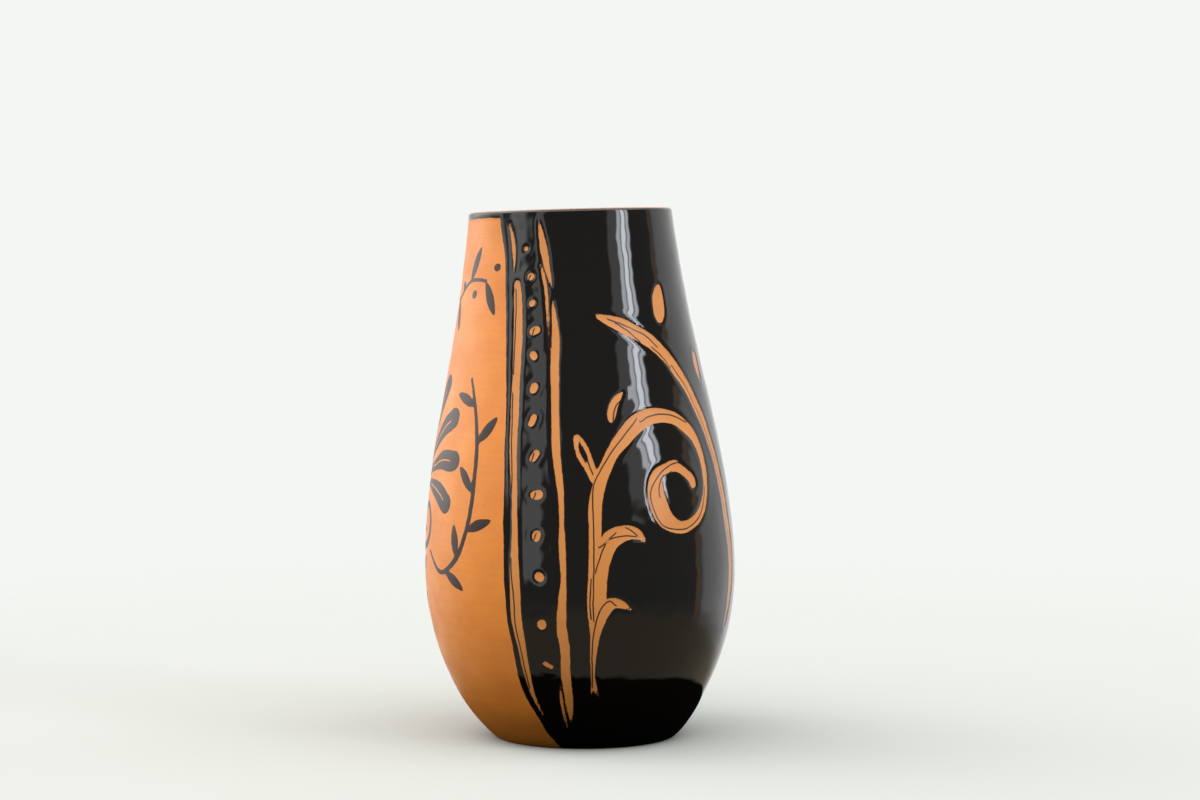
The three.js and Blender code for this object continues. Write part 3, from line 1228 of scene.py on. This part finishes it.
@dataclass
class Vase:
    """The vase: one thrown body with its decoration, coat of glaze and finishes."""

    form: ThrownForm = ThrownForm()
    decoration: Decoration = field(default_factory=Decoration)
    coat: GlazeCoat = GlazeCoat()
    wall_finish: GlazedWall = GlazedWall()
    lip_finish: BareClay = BareClay("unglazed pale body clay", "#AC866A", "#8A6248")
    inside_finish: BareClay = BareClay("unglazed terracotta inside", "#C4855A", "#A3643C")
    seam: float = 170.0
    map_wall: float = 1.0
    map_rest: float = 0.22
    weld: float = 0.02

    def section_mesh(self) -> bpy.types.Mesh:
        """Makes the half section as points, each with its region, length up the wall and map height."""
        regions, rows = zip(*self.form.section())
        path = np.vstack(rows)
        kinds = np.concatenate([np.full(len(part), region.value) for region, part in zip(regions, rows)])
        run = lengths_along(path)
        on_wall = kinds == Region.WALL.value
        along = run - run[on_wall][0]
        steps = np.diff(run) * np.where(on_wall[1:], self.map_wall, self.map_rest)
        share = np.concatenate([[0.0], np.cumsum(steps)])
        mesh = bpy.data.meshes.new("vase_section")
        mesh.from_pydata([(0.0, -radius * MM, height * MM) for radius, height in path], [], [])
        write_attribute(mesh, "region", "INT", "POINT", kinds.astype(np.int32))
        write_attribute(mesh, "along_mm", "FLOAT", "POINT", along.astype(np.float32))
        write_attribute(mesh, "map_up", "FLOAT", "POINT", (share / share[-1]).astype(np.float32))
        return mesh

    def throwing_tree(self) -> bpy.types.NodeTree:
        """Builds the tree that turns the section about the axis and leans the body on its level foot."""
        tree, given = new_geometry_tree("thrown_body", {
            "Columns": "NodeSocketInt", "Seam": "NodeSocketFloat", "Lean": "NodeSocketFloat",
            "Level foot": "NodeSocketFloat", "Belly height": "NodeSocketFloat", "Clay": "NodeSocketMaterial",
        })
        section, columns = given["Geometry"], given["Columns"]
        rows = add_node(tree, "GeometryNodeAttributeDomainSize", {0: section}, give="Point Count")
        edges = add_node(tree, "FunctionNodeIntegerMath", {0: columns, 1: 1}, operation="ADD")
        body = add_node(tree, "GeometryNodeMeshGrid", {"Vertices X": edges, "Vertices Y": rows}, give="Mesh")
        index = add_node(tree, "GeometryNodeInputIndex")
        column = add_node(tree, "FunctionNodeIntegerMath", {0: index, 1: rows}, operation="DIVIDE_FLOOR")
        row = add_node(tree, "FunctionNodeIntegerMath", {0: index, 1: rows}, operation="MODULO")
        map_around = add_node(tree, "ShaderNodeSeparateXYZ", {0: body.node.outputs["UV Map"]}, give="X")

        sampled = {}
        kinds = {"point": "FLOAT_VECTOR", "along_mm": "FLOAT", "region": "INT", "map_up": "FLOAT"}
        for name, kind in kinds.items():
            if name == "point":
                value = add_node(tree, "GeometryNodeInputPosition")
            else:
                value = add_node(tree, NAMED, {"Name": name}, data_type=kind)
            inputs = {"Geometry": section, "Value": value, "Index": row}
            sampled[name] = add_node(tree, "GeometryNodeSampleIndex", inputs, data_type=kind)

        turn = add_node(tree, MATH, {0: column, 1: columns}, operation="DIVIDE")
        degrees = add_node(tree, MATH, {0: turn, 1: 360.0, 2: given["Seam"]}, operation="MULTIPLY_ADD")
        angle = add_node(tree, MATH, {0: degrees}, operation="RADIANS")
        turned = add_node(tree, "ShaderNodeVectorRotate", {
            "Vector": sampled["point"], "Angle": angle,
        }, rotation_type="Z_AXIS")
        height = add_node(tree, "ShaderNodeSeparateXYZ", {0: turned}, give="Z")
        back = add_node(tree, MATH, {0: given["Lean"], 1: -1.0}, operation="MULTIPLY")
        leaning_in = {"Value": height, "From Max": given["Level foot"], "To Max": back}
        tip = add_node(tree, RAMP, leaning_in, **SMOOTH)
        tipped = add_node(tree, "ShaderNodeVectorRotate", {
            "Vector": turned, "Center": add_node(tree, "ShaderNodeCombineXYZ", {"Z": height}), "Angle": tip,
        }, rotation_type="Y_AXIS")
        sine = add_node(tree, MATH, {0: given["Lean"]}, operation="SINE")
        below = add_node(tree, MATH, {0: given["Belly height"], 1: height}, operation="SUBTRACT")
        aside = add_node(tree, MATH, {0: below, 1: sine}, operation="MULTIPLY")
        shift = add_node(tree, "ShaderNodeCombineXYZ", {"X": aside})
        leaning = add_node(tree, "ShaderNodeVectorMath", {0: tipped, 1: shift}, operation="ADD")

        map_place = add_node(tree, "ShaderNodeCombineXYZ", {"X": map_around, "Y": sampled["map_up"]})
        for name, kind, domain, value in (
            ("OFBake", "FLOAT2", "CORNER", map_place),
            ("around_deg", "FLOAT", "POINT", degrees),
            ("along_mm", "FLOAT", "POINT", sampled["along_mm"]),
            ("region", "INT", "POINT", sampled["region"]),
        ):
            inputs = {"Geometry": body, "Name": name, "Value": value}
            body = add_node(tree, "GeometryNodeStoreNamedAttribute", inputs, data_type=kind, domain=domain)
        body = add_node(tree, "GeometryNodeSetPosition", {"Geometry": body, "Position": leaning})
        body = add_node(tree, "GeometryNodeMergeByDistance", {"Geometry": body, "Distance": self.weld * MM})
        body = add_node(tree, "GeometryNodeSetShadeSmooth", {"Geometry": body})
        body = add_node(tree, "GeometryNodeRealizeInstances", {"Geometry": body})
        body = add_node(tree, "GeometryNodeSetMaterial", {"Geometry": body, "Material": given["Clay"]})
        add_node(tree, "NodeGroupOutput", {"Geometry": body})
        return tree

    def coat_tree(self) -> bpy.types.NodeTree:
        """Builds the tree that raises the wall by its coat and gives each region its finish."""
        tree, given = new_geometry_tree("glaze_coat", {
            "Wall finish": "NodeSocketMaterial", "Inside finish": "NodeSocketMaterial",
        })
        coat = add_node(tree, NAMED, {"Name": "coat_mm"}, data_type="FLOAT")
        rise = add_node(tree, MATH, {0: coat, 1: MM}, operation="MULTIPLY")
        normal = add_node(tree, "GeometryNodeInputNormal")
        offset = add_node(tree, "ShaderNodeVectorMath", {0: normal, "Scale": rise}, operation="SCALE")
        body = add_node(tree, "GeometryNodeSetPosition", {"Geometry": given["Geometry"], "Offset": offset})
        body = add_node(tree, "GeometryNodeRealizeInstances", {"Geometry": body})
        region = add_node(tree, NAMED, {"Name": "face_region"}, data_type="INT")
        for wanted, finish in ((Region.WALL, "Wall finish"), (Region.INSIDE, "Inside finish")):
            compared = {2: region, 3: wanted.value}
            chosen = add_node(tree, "FunctionNodeCompare", compared, data_type="INT", operation="EQUAL")
            inputs = {"Geometry": body, "Selection": chosen, "Material": given[finish]}
            body = add_node(tree, "GeometryNodeSetMaterial", inputs)
        add_node(tree, "NodeGroupOutput", {"Geometry": body})
        return tree

    def throw(self) -> bpy.types.Mesh:
        """Makes the bare clay body."""
        form = self.form
        return run_tree(self.section_mesh(), self.throwing_tree(), {
            "Columns": form.columns, "Seam": self.seam, "Lean": form.lean, "Level foot": form.level_foot * MM,
            "Belly height": form.belly_height * MM, "Clay": self.lip_finish.build(),
        })

    def decorate(self, mesh: bpy.types.Mesh) -> None:
        """Works out the decoration and the coat on the wall and writes them to the mesh.

        Args:
            mesh: The clay body.
        """
        region = read_attribute(mesh, "region").round().astype(int)
        wall = region == Region.WALL.value
        place = np.zeros(len(mesh.vertices) * 3, dtype=np.float32)
        mesh.vertices.foreach_get("co", place)
        place = place.reshape(-1, 3)[wall] / MM
        along = read_attribute(mesh, "along_mm")[wall]
        around = read_attribute(mesh, "around_deg")[wall]
        points = WallPoints(around, along, self.form.radius_at(along), place)
        paint = self.decoration.fields(self.form, points)
        coat = self.coat.build_up(points, paint)
        far = self.decoration.far
        for name, values, elsewhere in (
            ("reserve_mm", paint.reserve, -far), ("panel_mm", paint.panel, -far),
            ("brush_mm", paint.brush, -far), ("coat_mm", coat, 0.0),
            *((VEIN_SIDE.format(layer), side, far) for layer, (side, _) in enumerate(paint.vein_layers)),
            *((VEIN_GAP.format(layer), gap, far) for layer, (_, gap) in enumerate(paint.vein_layers)),
        ):
            everywhere = np.full(len(region), elsewhere, dtype=np.float32)
            everywhere[wall] = values
            write_attribute(mesh, name, "FLOAT", "POINT", everywhere)
        corners = np.zeros(len(mesh.loops), dtype=np.int32)
        mesh.loops.foreach_get("vertex_index", corners)
        starts = np.zeros(len(mesh.polygons), dtype=np.int32)
        mesh.polygons.foreach_get("loop_start", starts)
        face_region = np.minimum.reduceat(region[corners], starts).astype(np.int32)
        write_attribute(mesh, "face_region", "INT", "FACE", face_region)

    def build(self) -> bpy.types.Object:
        """Builds the vase and sets it in the frame.

        Returns:
            The vase's object.
        """
        clay = self.throw()
        self.decorate(clay)
        finished = run_tree(clay, self.coat_tree(), {
            "Wall finish": self.wall_finish.build(), "Inside finish": self.inside_finish.build(),
        })
        vase = bpy.data.objects.new("vase_body", finished)
        bpy.context.scene.collection.objects.link(vase)
        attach(vase, "root")
        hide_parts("vase")
        LOG.info("vase_body: %d faces, %d materials", len(finished.polygons), len(finished.materials))
        return vase


@dataclass(frozen=True)
class Patch:
    """A soft-edged bright patch of the room, by direction: degrees right of the camera and degrees up."""

    name: str
    left: float
    right: float
    low: float
    high: float
    soft: float
    brightness: float
    colour: str = "#FFFFFF"

    def edges(
        self, around: bpy.types.NodeSocket, up: bpy.types.NodeSocket
    ) -> list[tuple[bpy.types.NodeSocket, float, float]]:
        """Lists the patch's four soft edges.

        Args:
            around: Direction in degrees right of the camera.
            up: Direction in degrees up.

        Returns:
            For each edge the direction that it cuts, where the patch starts and where it is full.
        """
        soft = self.soft
        return [
            (around, self.left - soft, self.left + soft), (around, self.right + soft, self.right - soft),
            (up, self.low - soft, self.low + soft), (up, self.high + soft, self.high - soft),
        ]


@dataclass(frozen=True)
class Studio:
    """Pale floor that fades into a white surround, a room of soft light and the camera."""

    floor_radius: float = 1.7
    floor_fade: float = 0.6
    floor_colour: str = "#AEB0AB"
    floor_corners: int = 96
    dark_radius: float = 0.165
    dark_soft: float = 0.007
    dark_colour: str = "#0C0B0A"
    surround: str = "#F4F6F4"
    room_front: float = 0.22
    room_back: float = 1.1
    room_turn: tuple[float, float] = (98.0, 106.0)
    ground: str = "#A89E8C"
    ground_edge: tuple[float, float] = (-12.0, -22.0)
    lens: float = 85.0
    sensor: float = 36.0
    eye: tuple[float, float, float] = (16.24, -2317.4, 385.3)
    pitch: float = 2.722
    patches: tuple[Patch, ...] = (
        Patch("window_left", 52.5, 57.0, 11.0, 30.0, 0.9, 7.5, "#F2F7FF"),
        Patch("window_middle", 58.0, 63.0, 9.0, 30.0, 0.9, 13.0, "#F2F7FF"),
        Patch("window_right", 64.2, 68.0, 10.0, 30.0, 1.2, 8.0, "#F2F7FF"),
        Patch("window_side", 41.0, 54.0, 9.0, 30.0, 1.5, 0.8),
        Patch("left_wall", -41.0, -27.0, -8.0, 30.0, 2.0, 1.1),
        Patch("left_window", -70.0, -50.0, 8.0, 30.0, 4.0, 1.8),
        Patch("left_screen", -140.0, -80.0, 2.0, 62.0, 8.0, 1.7),
        Patch("overhead", -110.0, 110.0, 36.0, 75.0, 6.0, 3.2),
        Patch("right_strip", 96.0, 100.0, -30.0, 30.0, 1.2, 0.8, "#D8A468"),
    )

    def floor(self) -> None:
        """Adds the floor: a pale disc that fades out, and to the vase a small dark ground by its foot."""
        mesh = bpy.data.meshes.new("floor")
        turns = np.linspace(0, 2 * math.pi, self.floor_corners, endpoint=False)
        ring = [(self.floor_radius * math.cos(t), self.floor_radius * math.sin(t), 0.0) for t in turns]
        mesh.from_pydata(ring, [], [list(range(len(ring)))])
        material, tree = new_material("matte studio floor")
        place = add_node(tree, "ShaderNodeTexCoord", give="Object")
        gap = add_node(tree, "ShaderNodeVectorMath", {0: place}, give="Value", operation="LENGTH")
        fade = add_node(tree, RAMP, {"Value": gap, **span(self.floor_fade, self.floor_radius)}, **SMOOTH)
        dark_edge = span(self.dark_radius, self.dark_radius + self.dark_soft)
        dark_end = add_node(tree, RAMP, {"Value": gap, **dark_edge})
        seen = add_node(tree, "ShaderNodeLightPath", give="Is Camera Ray")
        clear_share = add_node(tree, MIX, {0: seen, 2: dark_end, 3: fade}, data_type="FLOAT")
        dark, pale = linear(self.dark_colour), linear(self.floor_colour)
        colour = add_node(tree, MIX, {0: seen, 6: dark, 7: pale}, **RGB)
        matte = add_node(tree, "ShaderNodeBsdfDiffuse", {"Color": colour})
        clear = add_node(tree, "ShaderNodeBsdfTransparent")
        mixed = add_node(tree, "ShaderNodeMixShader", {0: clear_share, 1: matte, 2: clear})
        add_node(tree, "ShaderNodeOutputMaterial", {"Surface": mixed})
        mesh.materials.append(material)
        floor = bpy.data.objects.new("floor", mesh)
        bpy.context.scene.collection.objects.link(floor)

    def surroundings(self) -> None:
        """Sets the surround: white to the eye, and to the vase a room with a window, walls and ground."""
        world = bpy.data.worlds.new("studio surround")
        bpy.context.scene.world = world
        world.use_nodes = True
        tree = world.node_tree
        tree.nodes.clear()
        direction = add_node(tree, "ShaderNodeTexCoord", give="Generated")
        axes = add_node(tree, "ShaderNodeSeparateXYZ", {0: direction}).node.outputs
        toward = add_node(tree, MATH, {0: axes["Y"], 1: -1.0}, operation="MULTIPLY")
        around = add_node(tree, MATH, {0: axes["X"], 1: toward}, operation="ARCTAN2")
        around = add_node(tree, MATH, {0: around}, operation="DEGREES")
        up = add_node(tree, MATH, {0: axes["Z"]}, operation="ARCSINE")
        up = add_node(tree, MATH, {0: up}, operation="DEGREES")
        turn = add_node(tree, MATH, {0: around}, operation="ABSOLUTE")
        behind = add_node(tree, RAMP, {"Value": turn, **span(*self.room_turn)}, **SMOOTH)
        front, back = ((level, level, level, 1.0) for level in (self.room_front, self.room_back))
        room = add_node(tree, MIX, {0: behind, 6: front, 7: back}, **RGB)
        for patch in self.patches:
            share = None
            for value, outer, inner in patch.edges(around, up):
                edge = add_node(tree, RAMP, {"Value": value, **span(outer, inner)}, **SMOOTH)
                share = add_node(tree, MATH, {0: share, 1: edge}, operation="MULTIPLY") if share else edge
            glow = tuple(patch.brightness * channel for channel in linear(patch.colour)[:3])
            lit = {0: share, 1: glow, 2: room}
            room = add_node(tree, "ShaderNodeVectorMath", lit, operation="MULTIPLY_ADD")
        below = add_node(tree, RAMP, {"Value": up, **span(*self.ground_edge)}, **SMOOTH)
        room = add_node(tree, MIX, {0: below, 6: room, 7: linear(self.ground)}, **RGB)
        seen = add_node(tree, "ShaderNodeLightPath", give="Is Camera Ray")
        colour = add_node(tree, MIX, {0: seen, 6: room, 7: linear(self.surround)}, **RGB)
        background = add_node(tree, "ShaderNodeBackground", {"Color": colour})
        add_node(tree, "ShaderNodeOutputWorld", {"Surface": background})

    def camera(self) -> None:
        """Adds the camera at the photograph's height, distance and tilt."""
        data = bpy.data.cameras.new("camera")
        data.lens, data.sensor_width = self.lens, self.sensor
        camera = bpy.data.objects.new("camera", data)
        camera.location = Vector(self.eye) * MM
        camera.rotation_euler = (math.radians(90 - self.pitch), 0.0, 0.0)
        bpy.context.scene.collection.objects.link(camera)
        bpy.context.scene.camera = camera

    def build(self) -> None:
        """Builds the whole studio."""
        self.camera()
        self.floor()
        self.surroundings()
        bpy.context.scene.view_settings.view_transform = "Standard"
        LOG.info("studio: %d patches of light", len(self.patches))


def main() -> None:
    """Builds the studio and the vase."""
    logging.basicConfig(level=logging.INFO, format="%(name)s: %(message)s")
    Studio().build()
    Vase().build()


if __name__ == "__main__":
    main()
